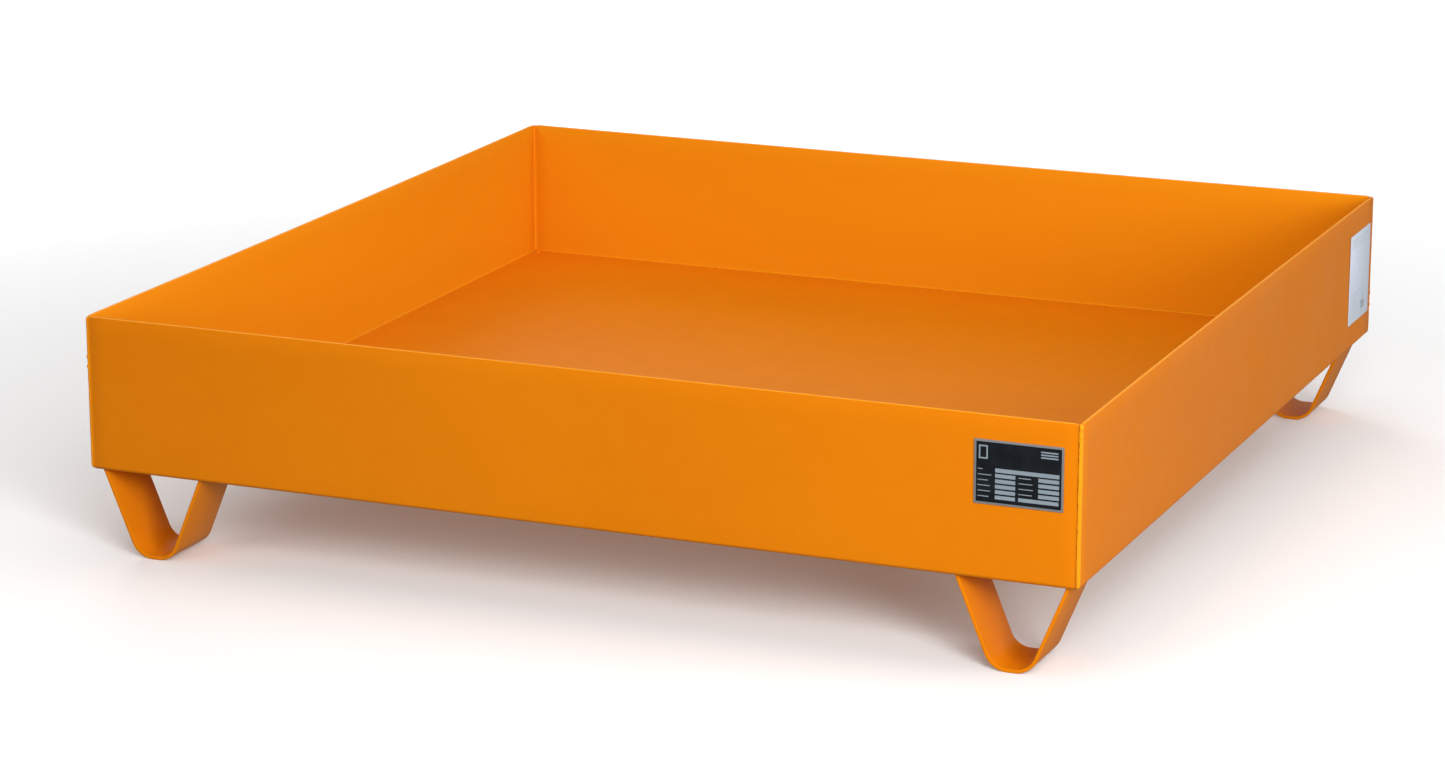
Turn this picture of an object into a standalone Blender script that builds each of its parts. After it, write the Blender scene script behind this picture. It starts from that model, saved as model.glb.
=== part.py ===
"""Steel spill containment pallet: a folded sump tray standing on four bent strip feet.

Metres, +Z up. The origin is on the floor, under the middle of the tray. +X runs to the right along the
front wall, which faces -Y.
"""

import math

import bmesh
import bpy
from mathutils import Matrix, Vector

# Tray: one sheet, notched at its corners and folded up on four sides.
TRAY_LENGTH = 1.200
TRAY_WIDTH = 1.200
WALL_HEIGHT = 0.182
SHEET_THICKNESS = 0.003
FOLD_RADIUS = 0.005

# Feet: flat strip bent into a V with a rounded bottom.
FOOT_HEIGHT = 0.103
FOOT_SPAN = 0.130
STRIP_WIDTH = 0.080
STRIP_THICKNESS = 0.004
FOOT_BEND_RADIUS = 0.028
FOOT_TREAD = 0.008
FOOT_INSET_X = 0.012
FOOT_INSET_Y = 0.007

# Fillet welds between the legs and the tray's underside.
FILLET_LEG = 0.004
FILLET_SET_BACK = 0.010
FILLET_CROWN = 0.0006

# Type plate, stuck to the front wall near its right end.
PLATE_LENGTH = 0.100
PLATE_HEIGHT = 0.071
PLATE_THICKNESS = 0.0008
PLATE_FROM_CORNER = 0.019
PLATE_BELOW_RIM = 0.027

# Paper label, stuck to the right wall near its back end.
LABEL_LENGTH = 0.097
LABEL_HEIGHT = 0.117
LABEL_THICKNESS = 0.0003
LABEL_FROM_CORNER = 0.013
LABEL_BELOW_RIM = 0.032

# Gap kept between two pieces that touch.
CLEARANCE = 0.0003

FOLD_STEPS = 6
SEAM_STEPS = 6
FOOT_BEND_STEPS = 12
CROWN_STEPS = 4

UNDERSIDE = FOOT_HEIGHT
RIM = UNDERSIDE + WALL_HEIGHT
HALF_LENGTH = TRAY_LENGTH / 2
HALF_WIDTH = TRAY_WIDTH / 2
SEAM_RADIUS = FOLD_RADIUS - CLEARANCE
LEG_TOP = FOOT_HEIGHT - CLEARANCE
FOOT_X = HALF_LENGTH - FOOT_INSET_X - FOOT_SPAN / 2
FOOT_Y = HALF_WIDTH - FOOT_INSET_Y - STRIP_WIDTH / 2

# Each corner's name, with the sides of X and Y that it is on.
CORNERS = {
    "front_left": (-1, -1),
    "front_right": (1, -1),
    "back_right": (1, 1),
    "back_left": (-1, 1),
}


def clear_scene():
    """Remove whatever the scene starts with."""
    for obj in list(bpy.data.objects):
        bpy.data.objects.remove(obj, do_unlink=True)


def make_material(name, colour, roughness, metallic):
    """A Principled material of one colour."""
    material = bpy.data.materials.new(name)
    material.use_nodes = True
    shader = material.node_tree.nodes["Principled BSDF"]
    shader.inputs["Base Color"].default_value = (*colour, 1.0)
    shader.inputs["Roughness"].default_value = roughness
    shader.inputs["Metallic"].default_value = metallic
    material.diffuse_color = (*colour, 1.0)
    return material


def add_object(name, mesh, material, location=(0.0, 0.0, 0.0), parent=None):
    """Put a mesh in the scene as a named piece."""
    piece = bpy.data.objects.new(name, mesh)
    piece.location = location
    piece.parent = parent
    piece.data.materials.clear()
    piece.data.materials.append(material)
    bpy.context.scene.collection.objects.link(piece)
    return piece


def mesh_from(name, shape):
    """Turn a bmesh into a mesh with its faces pointing outwards."""
    bmesh.ops.recalc_face_normals(shape, faces=shape.faces)
    mesh = bpy.data.meshes.new(name)
    shape.to_mesh(mesh)
    shape.free()
    return mesh


def smooth(mesh, angle=math.radians(30)):
    """Shade a mesh smooth, and keep its edges sharper than the angle."""
    mesh.shade_smooth()
    mesh.set_sharp_from_angle(angle=angle)


def draw_out(shape, faces, distance):
    """Extrude faces along Y by a distance, which makes them a solid."""
    drawn = bmesh.ops.extrude_face_region(shape, geom=faces)
    moved = [item for item in drawn["geom"] if isinstance(item, bmesh.types.BMVert)]
    bmesh.ops.translate(shape, verts=moved, vec=(0, distance, 0))


def block(name, low, high):
    """A rectangular block between two corners."""
    shape = bmesh.new()
    bmesh.ops.create_cube(shape, size=1.0)
    size = Vector(high) - Vector(low)
    middle = (Vector(high) + Vector(low)) / 2
    shape.transform(Matrix.Translation(middle) @ Matrix.Diagonal((*size, 1.0)))
    return mesh_from(name, shape)


def folded_side(shape, half_run, half_reach, turn):
    """Add one fold and its upstand to the floor, for the side that a turn about Z brings to -Y.

    half_run is half the side's straight length, and half_reach is how far the wall's outer face stands
    from the middle.
    """
    angles = [math.pi / 2 * step / FOLD_STEPS for step in range(FOLD_STEPS + 1)]
    profile = [
        (half_reach - FOLD_RADIUS * (1 - math.sin(angle)), FOLD_RADIUS * (1 - math.cos(angle)))
        for angle in angles
    ]
    profile.append((half_reach, WALL_HEIGHT))
    rows = []
    for reach, up in profile:
        ends = [Vector((-half_run, -reach, up)), Vector((half_run, -reach, up))]
        rows.append([shape.verts.new(turn @ end) for end in ends])
    for lower, upper in zip(rows, rows[1:]):
        shape.faces.new((lower[0], upper[0], upper[1], lower[1]))


def build_tray(material):
    """The tray's sheet: a floor with four upstands folded from it, and plain top edges."""
    floor_x = HALF_LENGTH - FOLD_RADIUS
    floor_y = HALF_WIDTH - FOLD_RADIUS
    shape = bmesh.new()
    corners = [(-floor_x, -floor_y), (floor_x, -floor_y), (floor_x, floor_y), (-floor_x, floor_y)]
    shape.faces.new([shape.verts.new((x, y, 0.0)) for x, y in corners])
    for quarter in range(4):
        turn = Matrix.Rotation(math.pi / 2 * quarter, 3, "Z")
        if quarter % 2 == 0:
            folded_side(shape, floor_x, HALF_WIDTH, turn)
        else:
            folded_side(shape, floor_y, HALF_LENGTH, turn)
    bmesh.ops.remove_doubles(shape, verts=shape.verts, dist=CLEARANCE / 10)
    mesh = mesh_from("tray_sheet", shape)
    if mesh.polygons[0].normal.z > 0:
        mesh.flip_normals()
    smooth(mesh)
    tray = add_object("tray_sheet", mesh, material, (0.0, 0.0, UNDERSIDE))
    wall = tray.modifiers.new("sheet", "SOLIDIFY")
    wall.thickness = SHEET_THICKNESS
    wall.offset = -1.0
    wall.use_even_offset = True
    return tray


def seam_mesh():
    """A corner seam: a quarter-round bead up the notch between two walls, rounded off at its lower end.

    It is drawn for the corner at +X, +Y, with the corner's outer edge at the origin.
    """
    quarter = [math.pi / 2 * step / SEAM_STEPS for step in range(SEAM_STEPS + 1)]
    levels = [(SEAM_RADIUS * (1 - math.cos(angle)), SEAM_RADIUS * math.sin(angle)) for angle in quarter[1:]]
    levels.append((WALL_HEIGHT, SEAM_RADIUS))
    shape = bmesh.new()
    rings = []
    for up, radius in levels:
        ring = [shape.verts.new((-SEAM_RADIUS, -SEAM_RADIUS, up))]
        for angle in quarter:
            x = radius * math.cos(angle) - SEAM_RADIUS
            y = radius * math.sin(angle) - SEAM_RADIUS
            ring.append(shape.verts.new((x, y, up)))
        rings.append(ring)
    for lower, upper in zip(rings, rings[1:]):
        for this in range(len(lower)):
            after = (this + 1) % len(lower)
            shape.faces.new((lower[this], lower[after], upper[after], upper[this]))
    shape.faces.new(reversed(rings[0]))
    shape.faces.new(rings[-1])
    mesh = mesh_from("corner_seam", shape)
    smooth(mesh)
    return mesh


def build_seams(material):
    """The four welded corner seams."""
    turns = {"back_right": 0, "back_left": 1, "front_left": 2, "front_right": 3}
    shared = seam_mesh()
    for corner, (side_x, side_y) in CORNERS.items():
        mesh = shared.copy()
        mesh.transform(Matrix.Rotation(math.pi / 2 * turns[corner], 4, "Z"))
        place = (side_x * HALF_LENGTH, side_y * HALF_WIDTH, UNDERSIDE)
        add_object("corner_seam_" + corner, mesh, material, place)


def leg_tilt():
    """The angle between a leg's outer face and the vertical, for a leg that meets the bend smoothly."""
    across = FOOT_SPAN / 2 - FOOT_TREAD / 2
    up = LEG_TOP - FOOT_BEND_RADIUS
    return math.atan2(across, up) - math.asin(FOOT_BEND_RADIUS / math.hypot(across, up))


def half_profile(inwards):
    """One half of the foot's profile, from the side of its tread up to the leg's top, set in by a depth."""
    radius = FOOT_BEND_RADIUS - inwards
    sweep = math.pi / 2 - leg_tilt()
    points = []
    for step in range(FOOT_BEND_STEPS + 1):
        angle = sweep * step / FOOT_BEND_STEPS
        across = FOOT_TREAD / 2 + radius * math.sin(angle)
        points.append((across, FOOT_BEND_RADIUS - radius * math.cos(angle)))
    across, up = points[-1]
    points.append((across + (LEG_TOP - up) * math.tan(leg_tilt()), LEG_TOP))
    return points


def foot_profile(inwards):
    """The foot's profile from the top of one leg to the top of the other, set in by a depth."""
    right = half_profile(inwards)
    return [(-x, z) for x, z in reversed(right)] + right


def foot_mesh():
    """A foot: strip bent into a V with a small flat tread, drawn about the middle of its tread."""
    shape = bmesh.new()
    front = -STRIP_WIDTH / 2
    outer = [shape.verts.new((x, front, z)) for x, z in foot_profile(0.0)]
    inner = [shape.verts.new((x, front, z)) for x, z in foot_profile(STRIP_THICKNESS)]
    edge = []
    for this in range(len(outer) - 1):
        edge.append(shape.faces.new((outer[this], outer[this + 1], inner[this + 1], inner[this])))
    draw_out(shape, edge, STRIP_WIDTH)
    mesh = mesh_from("foot", shape)
    smooth(mesh)
    return mesh


def fillet_crown(start, end):
    """The points of a fillet's face between its two toes, crowned outwards as an arc."""
    span = Vector(end) - Vector(start)
    outwards = Vector((span.y, -span.x)).normalized()
    if outwards.y > 0:
        outwards.negate()
    points = []
    for step in range(1, CROWN_STEPS):
        along = step / CROWN_STEPS
        bulge = FILLET_CROWN * math.sin(math.pi * along)
        points.append(tuple(Vector(start) + span * along + outwards * bulge))
    return points


def fillet_mesh(outside):
    """A fillet weld in the angle between the underside and a leg, on the outside of the V or inside it.

    It is drawn for the leg on the foot's +X side, about the middle of the foot's tread.
    """
    tilt = leg_tilt()
    outer_top = FOOT_SPAN / 2
    shift = CLEARANCE / math.cos(tilt)
    if outside:
        root = outer_top + shift
        along_floor = (root + FILLET_LEG, LEG_TOP)
    else:
        root = outer_top - STRIP_THICKNESS / math.cos(tilt) - shift
        along_floor = (root - FILLET_LEG, LEG_TOP)
    along_leg = (root - FILLET_LEG * math.sin(tilt), LEG_TOP - FILLET_LEG * math.cos(tilt))
    outline = [(root, LEG_TOP), along_floor, *fillet_crown(along_floor, along_leg), along_leg]
    shape = bmesh.new()
    half_run = STRIP_WIDTH / 2 - FILLET_SET_BACK
    face = shape.faces.new([shape.verts.new((x, -half_run, z)) for x, z in outline])
    draw_out(shape, [face], half_run * 2)
    mesh = mesh_from("fillet_weld", shape)
    smooth(mesh)
    return mesh


def build_feet(strip_material, weld_material):
    """The four feet, each under its own empty, with the fillet welds of its two legs."""
    strip = foot_mesh()
    fillets = {"outside": fillet_mesh(True), "inside": fillet_mesh(False)}
    for corner, (side_x, side_y) in CORNERS.items():
        place = bpy.data.objects.new("place_" + corner, None)
        place.location = (side_x * FOOT_X, side_y * FOOT_Y, 0.0)
        bpy.context.scene.collection.objects.link(place)
        add_object("foot_" + corner, strip.copy(), strip_material, parent=place)
        for leg, half_turn in (("outer_leg", side_x < 0), ("inner_leg", side_x > 0)):
            for face, fillet in fillets.items():
                mesh = fillet.copy()
                if half_turn:
                    mesh.transform(Matrix.Rotation(math.pi, 4, "Z"))
                add_object(f"weld_{corner}_{leg}_{face}", mesh, weld_material, parent=place)


def build_plate(material):
    """The type plate: a thin sheet stuck flat on the front wall."""
    right = HALF_LENGTH - PLATE_FROM_CORNER
    top = RIM - PLATE_BELOW_RIM
    back = -HALF_WIDTH - CLEARANCE
    low = (right - PLATE_LENGTH, back - PLATE_THICKNESS, top - PLATE_HEIGHT)
    add_object("type_plate", block("type_plate", low, (right, back, top)), material)


def build_label(material):
    """The paper label: stuck flat on the right wall."""
    back = HALF_WIDTH - LABEL_FROM_CORNER
    top = RIM - LABEL_BELOW_RIM
    side = HALF_LENGTH + CLEARANCE
    low = (side, back - LABEL_LENGTH, top - LABEL_HEIGHT)
    high = (side + LABEL_THICKNESS, back, top)
    add_object("paper_label", block("paper_label", low, high), material)


def main():
    """Build the pallet."""
    clear_scene()
    paint = make_material("orange_paint", (0.80, 0.23, 0.012), 0.42, 0.0)
    weld_paint = make_material("painted_weld", (0.85, 0.27, 0.02), 0.38, 0.0)
    plate = make_material("plate_black", (0.02, 0.02, 0.022), 0.35, 0.0)
    paper = make_material("label_paper", (0.86, 0.88, 0.90), 0.60, 0.0)
    build_tray(paint)
    build_seams(weld_paint)
    build_feet(paint, weld_paint)
    build_plate(plate)
    build_label(paper)


main()
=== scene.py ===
"""Looks of a steel spill containment pallet: a powder-coated sump tray on four bent strip feet."""

import logging
import math
import random
from dataclasses import dataclass, field
from enum import Enum
from typing import Any, Callable, Iterator, Sequence

import bmesh
import bpy
from mathutils import Euler, Matrix, Vector, noise


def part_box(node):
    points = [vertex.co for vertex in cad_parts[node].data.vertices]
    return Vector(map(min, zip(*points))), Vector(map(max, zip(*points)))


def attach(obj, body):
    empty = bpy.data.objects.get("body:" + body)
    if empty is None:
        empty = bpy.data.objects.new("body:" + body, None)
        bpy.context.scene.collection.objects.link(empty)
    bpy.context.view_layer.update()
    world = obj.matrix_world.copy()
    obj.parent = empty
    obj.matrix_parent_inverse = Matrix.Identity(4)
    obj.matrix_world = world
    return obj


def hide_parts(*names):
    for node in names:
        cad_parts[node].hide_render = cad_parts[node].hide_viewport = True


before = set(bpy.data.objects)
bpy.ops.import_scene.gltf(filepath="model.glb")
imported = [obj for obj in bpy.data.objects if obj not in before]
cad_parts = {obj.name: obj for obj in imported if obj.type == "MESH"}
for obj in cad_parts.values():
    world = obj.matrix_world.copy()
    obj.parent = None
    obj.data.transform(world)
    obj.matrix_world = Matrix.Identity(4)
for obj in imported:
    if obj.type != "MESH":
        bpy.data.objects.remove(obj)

LOG = logging.getLogger("spill_pallet")
BODY = "root"
UP = Vector((0.0, 0.0, 1.0))
NEAR = 1e-6
RAMP_ENDS = ("From Min", "From Max", "To Min", "To Max")
MIDDLE = (0.3, 0.7)
Piece = bpy.types.Object
Material = bpy.types.Material
Socket = bpy.types.NodeSocket
Colour = tuple[float, float, float]
Place = tuple[float, float, float]
Range = tuple[float, float]
Area = tuple[float, float, float, float]


class Slot(Enum):
    """The record's material slots."""

    PAINT = "orange_paint"
    WELD = "painted_weld"
    PLATE = "type_plate"
    PAPER = "label_paper"


class Corner(Enum):
    """The tray's corners, as the sides of X and Y that each is on."""

    FRONT_LEFT = (-1, -1)
    FRONT_RIGHT = (1, -1)
    BACK_RIGHT = (1, 1)
    BACK_LEFT = (-1, 1)

    @property
    def label(self) -> str:
        """The corner's name, as the CAD nodes write it."""
        return self.name.lower()

    @property
    def turn(self) -> float:
        """The turn about Z that brings the +X, +Y corner to this one."""
        side_x, side_y = self.value
        return math.atan2(side_y, side_x) - math.pi / 4


class Part(Enum):
    """What an edit-mode selection is made of, with Blender's name for its selection mode."""

    VERTS = "VERT"
    EDGES = "EDGE"


# --- Bench: selecting, shaping and finishing with Blender's own operators 


def open_piece(name: str) -> Piece:
    """Name the primitive just added, settle its place into its mesh and open it, nothing selected."""
    piece = bpy.context.object
    piece.name = name
    piece.data.name = name
    bpy.ops.object.transform_apply(location=True, rotation=True, scale=True)
    bpy.ops.object.mode_set(mode="EDIT")
    bpy.ops.mesh.select_all(action="DESELECT")
    return piece


def clear_selection() -> None:
    """Deselect every object, so that the next operator acts on its own piece only."""
    bpy.ops.object.select_all(action="DESELECT")


def take_up(piece: Piece) -> None:
    """Select a piece by itself, for the next operator to act on."""
    clear_selection()
    piece.select_set(True)
    bpy.context.view_layer.objects.active = piece


def choose(piece: Piece, part: Part, test: Callable[[Any], bool]) -> None:
    """Select the vertices or edges that pass a test of a bmesh element, and nothing else."""
    bpy.ops.mesh.select_mode(type=part.value)
    bpy.ops.mesh.select_all(action="DESELECT")
    work = bmesh.from_edit_mesh(piece.data)
    found = [item for item in getattr(work, part.name.lower()) if test(item)]
    for item in found:
        item.select_set(True)
    bmesh.update_edit_mesh(piece.data)


def close_piece(piece: Piece) -> Piece:
    """Leave edit mode and return the piece."""
    bpy.ops.object.mode_set(mode="OBJECT")
    return piece


def apply_modifier(piece: Piece, kind: str, **settings: Any) -> None:
    """Add a modifier of one of Blender's kinds, set it and apply it."""
    take_up(piece)
    modifier = piece.modifiers.new(kind.lower(), kind)
    for setting, value in settings.items():
        setattr(modifier, setting, value)
    bpy.ops.object.modifier_apply(modifier=modifier.name)


def break_edges(piece: Piece, width: float, segments: int = 2, degrees: float = 60.0) -> None:
    """Round the edges of a piece that are sharper than an angle."""
    limit = math.radians(degrees)
    apply_modifier(piece, "BEVEL", width=width, segments=segments, limit_method="ANGLE", angle_limit=limit)


def reshape(piece: Piece, rule: Callable[[Vector], Vector]) -> None:
    """Move every vertex of a piece to where a rule puts it."""
    for vert in piece.data.vertices:
        vert.co = rule(vert.co.copy())
    piece.data.update()


def face_outwards(piece: Piece) -> None:
    """Turn the faces of a closed piece outwards."""
    take_up(piece)
    bpy.ops.object.mode_set(mode="EDIT")
    bpy.ops.mesh.select_all(action="SELECT")
    bpy.ops.mesh.normals_make_consistent(inside=False)
    bpy.ops.object.mode_set(mode="OBJECT")


def smooth(piece: Piece, degrees: float = 35.0) -> None:
    """Shade a piece smooth, and keep the edges sharper than an angle."""
    take_up(piece)
    bpy.ops.object.shade_smooth_by_angle(angle=math.radians(degrees))


def copy_piece(piece: Piece, name: str, move: Matrix) -> Piece:
    """Copy a piece with a mesh of its own, and move it there by a matrix that doesn't mirror."""
    twin = piece.copy()
    twin.data = piece.data.copy()
    twin.name = name
    twin.data.name = name
    twin.data.transform(move)
    bpy.context.scene.collection.objects.link(twin)
    return twin


def join_pieces(pieces: Sequence[Piece], name: str) -> Piece:
    """Join pieces of one kind into one object, which uses them up."""
    clear_selection()
    for piece in pieces:
        piece.select_set(True)
    bpy.context.view_layer.objects.active = pieces[0]
    bpy.ops.object.join()
    pieces[0].name = name
    pieces[0].data.name = name
    return pieces[0]


def hand_over(piece: Piece, slot: Slot, dress: Material, *nodes: str) -> None:
    """Give a finished piece its material and body, and hide the CAD nodes that it stands for.

    Args:
        piece: The finished piece.
        slot: The record's slot that its finish belongs to; not used.
        dress: Its material.
        *nodes: The CAD nodes that it replaces.
    """
    piece.data.materials.clear()
    piece.data.materials.append(dress)
    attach(piece, BODY)
    if nodes:
        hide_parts(*nodes)
    LOG.info("%s: %d faces, stands for %s", piece.name, len(piece.data.polygons), nodes or "no CAD node")


# --- Finishes ---------------------------------------------


class Shading:
    """A Principled material under construction, with short ways to add and link its nodes."""

    def __init__(self, name: str) -> None:
        """Start a material of a given name."""
        self.material = bpy.data.materials.new(name)
        self.material.use_nodes = True
        self.tree = self.material.node_tree
        self.shader = self.tree.nodes["Principled BSDF"]
        self.place = self.tree.nodes.new("ShaderNodeTexCoord").outputs["Object"]

    def plug(self, value: Any, socket: Socket) -> None:
        """Link an output into a socket, or set the socket's own value."""
        if isinstance(value, Socket):
            self.tree.links.new(value, socket)
        else:
            socket.default_value = value

    def noise(self, scale: float, detail: float = 2.0, stretch: Place = (1.0, 1.0, 1.0)) -> Socket:
        """Add a noise on the object's own coordinates.

        Args:
            scale: Features per metre.
            detail: How many finer octaves it has.
            stretch: How the coordinates are scaled along X, Y and Z before it.

        Returns:
            The noise's value, about 0.5 on average.
        """
        mapping = self.tree.nodes.new("ShaderNodeMapping")
        mapping.inputs["Scale"].default_value = stretch
        self.plug(self.place, mapping.inputs["Vector"])
        texture = self.tree.nodes.new("ShaderNodeTexNoise")
        texture.inputs["Scale"].default_value = scale
        texture.inputs["Detail"].default_value = detail
        self.plug(mapping.outputs["Vector"], texture.inputs["Vector"])
        return texture.outputs["Fac"]

    def remap(self, value: Any, source: Range, target: Range) -> Socket:
        """Map a value from one range to another, smoothly and clamped at both ends."""
        node = self.tree.nodes.new("ShaderNodeMapRange")
        node.interpolation_type = "SMOOTHSTEP"
        self.plug(value, node.inputs["Value"])
        for name, limit in zip(RAMP_ENDS, (*source, *target)):
            node.inputs[name].default_value = limit
        return node.outputs["Result"]

    def blend(self, share: Any, first: Any, second: Any) -> Socket:
        """Mix two colours by a share from 0 to 1."""
        node = self.tree.nodes.new("ShaderNodeMix")
        node.data_type = "RGBA"
        self.plug(share, node.inputs[0])
        self.plug(first, node.inputs[6])
        self.plug(second, node.inputs[7])
        return node.outputs[2]

    def maths(self, operation: str, first: Any, second: Any = 0.0) -> Socket:
        """Work out one arithmetic step on two values."""
        node = self.tree.nodes.new("ShaderNodeMath")
        node.operation = operation
        self.plug(first, node.inputs[0])
        self.plug(second, node.inputs[1])
        return node.outputs["Value"]

    def attribute(self, name: str) -> Socket:
        """Return one of the mesh's own attributes as a value."""
        node = self.tree.nodes.new("ShaderNodeAttribute")
        node.attribute_name = name
        return node.outputs["Fac"]

    def height(self) -> Socket:
        """Return the Z of the object's own coordinates, in metres."""
        node = self.tree.nodes.new("ShaderNodeSeparateXYZ")
        self.plug(self.place, node.inputs["Vector"])
        return node.outputs["Z"]

    def bump(self, *layers: tuple[Socket, float]) -> None:
        """Stack bumps onto the shader's normal.

        Args:
            *layers: Pairs of a height from 0 to 1 and how many metres it stands for.
        """
        below = None
        for level, depth in layers:
            node = self.tree.nodes.new("ShaderNodeBump")
            node.inputs["Distance"].default_value = depth
            self.plug(level, node.inputs["Height"])
            if below is not None:
                self.plug(below, node.inputs["Normal"])
            below = node.outputs["Normal"]
        self.plug(below, self.shader.inputs["Normal"])

    def finish(self, colour: Any, roughness: Any, metallic: float = 0.0) -> Material:
        """Plug the main values into the shader and return the material."""
        self.plug(colour, self.shader.inputs["Base Color"])
        self.plug(roughness, self.shader.inputs["Roughness"])
        self.shader.inputs["Metallic"].default_value = metallic
        return self.material


def opaque(colour: Colour) -> tuple[float, float, float, float]:
    """Return a colour with full alpha."""
    return (*colour, 1.0)


@dataclass(frozen=True)
class PowderCoat:
    """Satin orange powder coat: orange peel, slow tone drift and lighter random specks; where asked, a
    painted highlight along the rim's top, a painted lighter tint and highlight by a mark, and a painted
    shadow by a mark.
    """

    name: str = "orange_powder_coat"
    colour: Colour = (0.75, 0.212, 0.004)
    deep: Colour = (0.72, 0.194, 0.003)
    # This colour lightens the random specks, and, where the rim's height is given, paints a highlight along
    # the rim's top.
    edge: Colour = (0.90, 0.33, 0.018)
    # This colour and its mark paint light: a lighter, yellower tint on the tray's inner faces, and painted
    # highlights in its inner folds and on a weld's crown.
    sheltered: Colour = (0.77, 0.262, 0.006)
    sheltered_mark: str | None = None
    # This colour and its mark paint a dark painted shadow along a line, such as a weld's toe.
    crevice: Colour = (0.20, 0.045, 0.002)
    crevice_mark: str | None = None
    gloss_tint: Colour = (1.0, 0.36, 0.06)
    gloss_level: float = 0.25
    roughness: Range = (0.36, 0.46)
    peel_size: float = 0.0022
    peel_depth: float = 0.00006
    wave_size: float = 0.16
    wave_depth: float = 0.0006
    # The rim's height; the top of the rim, rim_depth deep, is painted lighter as a highlight.
    lit_rim: float | None = None
    rim_depth: float = 0.0012
    drift: float = 2.4
    mottle: float = 38.0
    specks: float = 420.0
    sheen: float = 9.0

    def material(self) -> Material:
        """Build the finish and return its material."""
        make = Shading(self.name)
        drift = make.remap(make.noise(self.drift, 3.0), (0.35, 0.65), (0.0, 1.0))
        mottle = make.remap(make.noise(self.mottle, 4.0), MIDDLE, (0.0, 0.35))
        tone = make.maths("MINIMUM", make.maths("ADD", make.maths("MULTIPLY", drift, 0.65), mottle), 1.0)
        colour = make.blend(tone, opaque(self.colour), opaque(self.deep))
        # Painted light: a lighter tint or highlight where the mark says.
        if self.sheltered_mark is not None:
            colour = make.blend(make.attribute(self.sheltered_mark), colour, opaque(self.sheltered))
        specks = make.remap(make.noise(self.specks, 1.0), (0.77, 0.82), (0.0, 0.35))
        colour = make.blend(specks, colour, opaque(self.edge))
        # Painted highlight along the rim's top.
        if self.lit_rim is not None:
            rim = make.remap(make.height(), (self.lit_rim - self.rim_depth, self.lit_rim), (0.0, 1.0))
            colour = make.blend(rim, colour, opaque(self.edge))
        # Painted shadow along the mark's line.
        if self.crevice_mark is not None:
            colour = make.blend(make.attribute(self.crevice_mark), colour, opaque(self.crevice))
        rough = make.remap(make.noise(self.sheen, 5.0), MIDDLE, self.roughness)
        make.bump(
            (make.noise(1.0 / self.wave_size, 1.0), self.wave_depth),
            (make.noise(1.0 / self.peel_size, 2.0), self.peel_depth),
        )
        make.shader.inputs["Specular Tint"].default_value = opaque(self.gloss_tint)
        make.shader.inputs["Specular IOR Level"].default_value = self.gloss_level
        return make.finish(colour, rough)


@dataclass(frozen=True)
class PrintedMetal:
    """Aluminium plate stock, bare or printed: fine rolling lines, uneven gloss and tiny nicks."""

    name: str
    colour: Colour
    worn: Colour
    roughness: Range
    metallic: float
    gloss_level: float = 0.5
    lines: float = 900.0
    line_depth: float = 0.000012
    smears: float = 60.0
    nicks: float = 260.0

    def material(self) -> Material:
        """Build the finish and return its material."""
        make = Shading(self.name)
        lines = make.noise(self.lines, 3.0, (0.03, 1.0, 1.0))
        smears = make.noise(self.smears, 4.0)
        wear = make.remap(make.noise(self.nicks, 5.0), (0.62, 0.80), (0.0, 0.5))
        tone = make.blend(make.remap(smears, MIDDLE, (0.0, 0.3)), opaque(self.colour), opaque(self.worn))
        colour = make.blend(wear, tone, opaque(self.worn))
        rough = make.remap(smears, MIDDLE, self.roughness)
        make.bump((lines, self.line_depth))
        make.shader.inputs["Specular IOR Level"].default_value = self.gloss_level
        return make.finish(colour, rough, self.metallic)


@dataclass(frozen=True)
class LabelPaper:
    """Self-adhesive paper: faint fibre, a cool white with darker clouds, and soft print."""

    name: str
    colour: Colour
    shade: Colour
    fibres: float = 1400.0
    fibre_depth: float = 0.00002
    clouds: float = 24.0
    cockles: float = 18.0
    cockle_depth: float = 0.0003

    def material(self) -> Material:
        """Build the finish and return its material."""
        make = Shading(self.name)
        fibre = make.noise(self.fibres, 4.0, (1.0, 0.35, 1.0))
        cloud = make.remap(make.noise(self.clouds, 3.0), MIDDLE, (0.0, 0.5))
        mix = make.maths("ADD", cloud, make.remap(fibre, (0.3, 0.8), (0.0, 0.3)))
        colour = make.blend(mix, opaque(self.colour), opaque(self.shade))
        make.bump((make.noise(self.cockles, 2.0), self.cockle_depth), (fibre, self.fibre_depth))
        return make.finish(colour, make.remap(fibre, (0.2, 0.8), (0.45, 0.62)))


@dataclass(frozen=True)
class StudioFloor:
    """A pale, matt studio floor that glows faintly, more so further out."""

    colour: Colour = (0.93, 0.93, 0.93)
    shade: Colour = (0.90, 0.90, 0.90)
    glow_reach: Range = (0.9, 3.0)
    glow: Range = (0.10, 0.52)

    def material(self) -> Material:
        """Build the finish and return its material."""
        make = Shading("studio_floor")
        colour = make.blend(make.noise(3.0, 3.0), opaque(self.colour), opaque(self.shade))
        away = make.tree.nodes.new("ShaderNodeVectorMath")
        away.operation = "LENGTH"
        make.plug(make.place, away.inputs[0])
        glow = make.remap(away.outputs["Value"], self.glow_reach, self.glow)
        make.plug(glow, make.shader.inputs["Emission Strength"])
        make.shader.inputs["Emission Color"].default_value = opaque((1.0, 1.0, 1.0))
        return make.finish(colour, 0.85)


def weld_stock(name: str, sides: int, length: float, middle: float, step: float) -> Piece:
    """Make a weld bead's stock: a cylinder of radius 1 along Z, cut across about once a step."""
    clear_selection()
    bpy.ops.mesh.primitive_cylinder_add(
        vertices=sides, radius=1.0, depth=length, location=(0.0, 0.0, middle), end_fill_type="TRIFAN"
    )
    piece = open_piece(name)
    choose(piece, Part.EDGES, lambda edge: abs(edge.verts[0].co.z - edge.verts[1].co.z) > length / 2)
    bpy.ops.mesh.subdivide(number_cuts=int(length / step))
    return close_piece(piece)


# --- Tray -------------------------------------------------


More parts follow.
